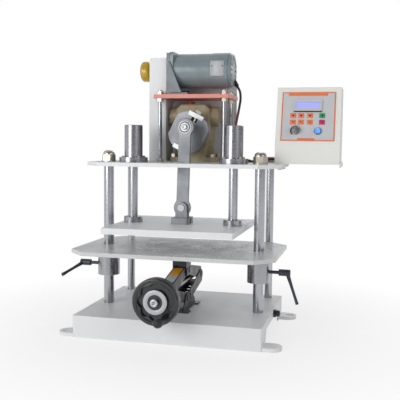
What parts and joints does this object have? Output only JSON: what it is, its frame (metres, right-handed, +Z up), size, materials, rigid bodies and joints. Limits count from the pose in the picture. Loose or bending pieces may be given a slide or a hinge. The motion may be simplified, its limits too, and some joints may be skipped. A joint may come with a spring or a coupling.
{
  "type": "foam compression fatigue tester",
  "caption": "Bench press with a motor-driven crank that pumps a guided plate onto foam lying on a perforated table, raised by a scissor jack.",
  "frame": {"origin": "On the floor plane under the middle of the base box, which is the centre of the four ear slots; the front with the handwheel faces -Y.", "axes": "+X to the right toward the control box, +Y to the rear, +Z up."},
  "size_m": [0.6526, 0.4658, 0.675],
  "materials": {
    "white_paint": "satin powder coat",
    "box_paint": "fine textured powder coat",
    "panel_grey": "satin powder coat",
    "column_steel": "ground shaft steel",
    "bearing_steel": "turned steel",
    "disc_steel": "milled bright steel",
    "shaft_steel": "turned steel",
    "nut_steel": "zinc plated",
    "table_steel": "perforated sheet",
    "cast_paint": "painted casting",
    "motor_paint": "grey enamel",
    "red_paint": "salmon red paint",
    "red_plastic": "moulded",
    "yellow_plastic": "moulded",
    "black_paint": "semi gloss black paint",
    "black_lever": "die cast lever, black coated",
    "black_handwheel": "phenolic handwheel",
    "black_plastic": "moulded",
    "panel_face": "printed film with an orange border",
    "blue_frame": "moulded",
    "display_glass": "lit display window",
    "key_film": "embossed film keys",
    "knob_metal": "turned knob with a bright cap",
    "blue_button": "lit push button",
    "lead_sheath": "round cable sheath",
    "belt_rubber": "toothed belt"
  },
  "bodies": {
    "machine_frame": {"base_box": "white_paint", "mounting_ears": "white_paint", "power_gland": "black_plastic", "front_columns": "column_steel", "rear_columns": "column_steel", "column_nuts": "nut_steel", "top_plate": "white_paint", "guide_bearings": "bearing_steel", "fixing_bolts": "nut_steel", "gearbox_housing": "cast_paint", "gearbox_covers": "cast_paint", "breather_plug": "red_plastic", "motor_platform": "red_paint", "platform_posts": "column_steel", "platform_nuts": "nut_steel", "motor_bracket": "white_paint", "motor_body": "motor_paint", "motor_end_cap": "motor_paint", "belt_cover": "white_paint", "drive_belt": "belt_rubber", "back_panel": "panel_grey", "control_box": "box_paint", "control_panel": "panel_face", "display_bezel": "blue_frame", "display_window": "display_glass", "keypad_keys": "key_film", "control_bracket": "box_paint", "motor_lead": "lead_sheath", "lead_fittings": "black_plastic", "jack_base": "black_paint"},
    "crank": {"crank_disc": "disc_steel", "slot_end_plates": "disc_steel"},
    "throw_carriage": {"throw_block": "shaft_steel"},
    "adjuster": {"adjusting_screw": "nut_steel"},
    "worm": {"worm_shaft": "shaft_steel"},
    "motor_rotor": {"motor_shaft": "shaft_steel", "motor_handwheel": "yellow_plastic"},
    "crosshead": {"compression_plate": "white_paint", "guide_rods": "column_steel", "rod_flanges": "bearing_steel", "clevis": "disc_steel", "clevis_pin": "shaft_steel"},
    "rod": {"connecting_rod": "disc_steel", "crank_pin": "shaft_steel"},
    "lift_table": {"perforated_table": "table_steel", "table_collars": "bearing_steel", "jack_saddle": "black_paint"},
    "left_lever": {"left_clamp_lever": "black_lever"},
    "right_lever": {"right_clamp_lever": "black_lever"},
    "front_low_arm": {"front_lower_arm": "black_paint"},
    "front_block": {"front_trunnion": "black_paint"},
    "front_high_arm": {"front_upper_arm": "black_paint"},
    "rear_low_arm": {"rear_lower_arm": "black_paint"},
    "rear_block": {"rear_trunnion": "black_paint"},
    "rear_high_arm": {"rear_upper_arm": "black_paint"},
    "screw_and_wheel": {"jack_screw": "shaft_steel", "jack_handwheel": "black_handwheel"},
    "turning_handle": {"wheel_handle": "black_plastic"},
    "knob": {"speed_knob": "knob_metal"},
    "button": {"power_button": "blue_button"}
  },
  "joints": [
    {"name": "crank_spin", "type": "hinge", "parent": "machine_frame", "child": "crank", "pos_m": [0, 0.06, 0.4754], "axis": [0, -1, 0], "continuous": true},
    {"name": "throw_slide", "type": "slide", "parent": "crank", "child": "throw_carriage", "axis": [0.4462, 0, 0.8949], "range_m": [-0.01, 0.0074]},
    {"name": "adjuster_turn", "type": "hinge", "parent": "crank", "child": "adjuster", "pos_m": [0, 0.035, 0.4754], "axis": [0.4462, 0, 0.8949], "range_deg": [-2885, 2136]},
    {"name": "worm_spin", "type": "hinge", "parent": "machine_frame", "child": "worm", "pos_m": [-0.09, 0.1, 0.5154], "axis": [1, 0, 0], "continuous": true},
    {"name": "motor_spin", "type": "hinge", "parent": "machine_frame", "child": "motor_rotor", "pos_m": [-0.09, 0.1, 0.63], "axis": [1, 0, 0], "continuous": true},
    {"name": "platen_slide", "type": "slide", "parent": "machine_frame", "child": "crosshead", "axis": [0, 0, 1], "range_m": [-0.0314, 0.0086]},
    {"name": "rod_swing", "type": "hinge", "parent": "crosshead", "child": "rod", "pos_m": [0, -0.0227, 0.29396], "axis": [0, 1, 0], "range_deg": [-7.6, 4.3]},
    {"name": "table_lift", "type": "slide", "parent": "machine_frame", "child": "lift_table", "axis": [0, 0, 1], "range_m": [-0.038, 0.01]},
    {"name": "left_lever_turn", "type": "hinge", "parent": "lift_table", "child": "left_lever", "pos_m": [-0.2145, -0.0227, 0.14896], "axis": [1, 0, 0], "range_deg": [-150, 10]},
    {"name": "right_lever_turn", "type": "hinge", "parent": "lift_table", "child": "right_lever", "pos_m": [0.2145, -0.0227, 0.14896], "axis": [1, 0, 0], "range_deg": [-10, 150]},
    {"name": "front_low_arm_turn", "type": "hinge", "parent": "machine_frame", "child": "front_low_arm", "pos_m": [0, -0.0347, 0.0776], "axis": [1, 0, 0], "range_deg": [-2.39, 8.95]},
    {"name": "front_block_turn", "type": "hinge", "parent": "front_low_arm", "child": "front_block", "pos_m": [0, -0.15543, 0.10998], "axis": [1, 0, 0], "range_deg": [-8.95, 2.39]},
    {"name": "front_high_arm_turn", "type": "hinge", "parent": "front_block", "child": "front_high_arm", "pos_m": [0, -0.15543, 0.10998], "axis": [1, 0, 0], "range_deg": [-8.95, 2.39]},
    {"name": "rear_low_arm_turn", "type": "hinge", "parent": "machine_frame", "child": "rear_low_arm", "pos_m": [0, -0.0107, 0.0776], "axis": [1, 0, 0], "range_deg": [-8.95, 2.39]},
    {"name": "rear_block_turn", "type": "hinge", "parent": "rear_low_arm", "child": "rear_block", "pos_m": [0, 0.11003, 0.10998], "axis": [1, 0, 0], "range_deg": [-2.39, 8.95]},
    {"name": "rear_high_arm_turn", "type": "hinge", "parent": "rear_block", "child": "rear_high_arm", "pos_m": [0, 0.11003, 0.10998], "axis": [1, 0, 0], "range_deg": [-2.39, 8.95]},
    {"name": "jack_screw_turn", "type": "hinge", "parent": "front_block", "child": "screw_and_wheel", "pos_m": [0, -0.15543, 0.10998], "axis": [0, 1, 0], "range_deg": [-716, 191]},
    {"name": "handle_spin", "type": "hinge", "parent": "screw_and_wheel", "child": "turning_handle", "pos_m": [0.02014, -0.25, 0.07775], "axis": [0, 1, 0], "continuous": true},
    {"name": "speed_knob_turn", "type": "hinge", "parent": "machine_frame", "child": "knob", "pos_m": [0.2604, 0.03896, 0.48022], "axis": [0, -0.9659, 0.259], "range_deg": [-150, 150]},
    {"name": "power_button_press", "type": "slide", "parent": "machine_frame", "child": "button", "axis": [0, 0.9659, -0.259], "range_m": [0, 0.002], "stiffness_N_per_m": 400, "springref_m": -0.0002}
  ],
  "couplings": [
    {"joint": "front_low_arm_turn", "follows": "table_lift", "rad_per_m": -4.0893},
    {"joint": "front_block_turn", "follows": "table_lift", "rad_per_m": 4.0893},
    {"joint": "front_high_arm_turn", "follows": "table_lift", "rad_per_m": 4.0893},
    {"joint": "rear_low_arm_turn", "follows": "table_lift", "rad_per_m": 4.0893},
    {"joint": "rear_block_turn", "follows": "table_lift", "rad_per_m": -4.0893},
    {"joint": "rear_high_arm_turn", "follows": "table_lift", "rad_per_m": -4.0893},
    {"joint": "worm_spin", "follows": "crank_spin", "ratio": 20},
    {"joint": "motor_spin", "follows": "crank_spin", "ratio": 20},
    {"joint": "adjuster_turn", "follows": "throw_slide", "rad_per_m": 5026.5},
    {"joint": "jack_screw_turn", "follows": "table_lift", "rad_per_m": 327.4}
  ]
}
